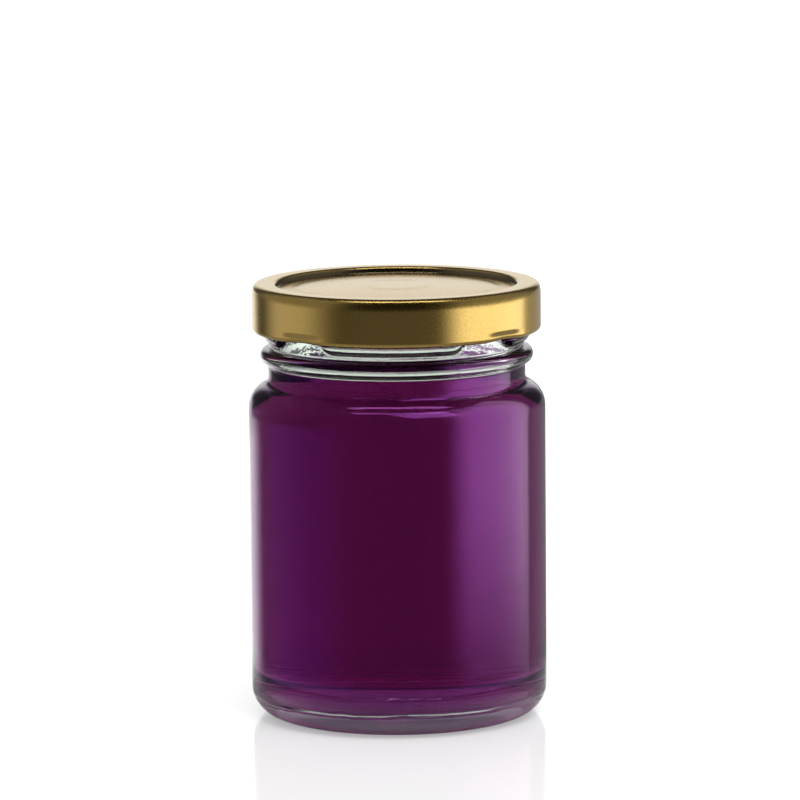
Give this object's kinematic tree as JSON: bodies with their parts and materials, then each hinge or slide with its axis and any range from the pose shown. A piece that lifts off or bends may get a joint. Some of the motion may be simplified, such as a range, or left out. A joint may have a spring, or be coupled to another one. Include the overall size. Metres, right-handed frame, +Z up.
{
  "type": "filled twist-off glass jar",
  "caption": "Small round clear glass jar with a rolled-edge twist-off metal lid, filled with a clear dark purple drink.",
  "frame": {"origin": "middle of the plane of the ring under the base, on the jar's axis", "axes": "+Z up along the jar's axis, front towards -Y, +X to the right seen from the front"},
  "size_m": [0.0574, 0.0574, 0.0842],
  "materials": {
    "clear_glass": "clear fire-polished glass with a faint green cast",
    "purple_liquid": "clear deep purple drink",
    "gold_lacquer": "satin gold lacquer on pressed tinplate"
  },
  "bodies": {
    "root": {"glass_jar": "clear_glass", "contents": "purple_liquid", "lug_lid": "gold_lacquer"}
  },
  "joints": []
}
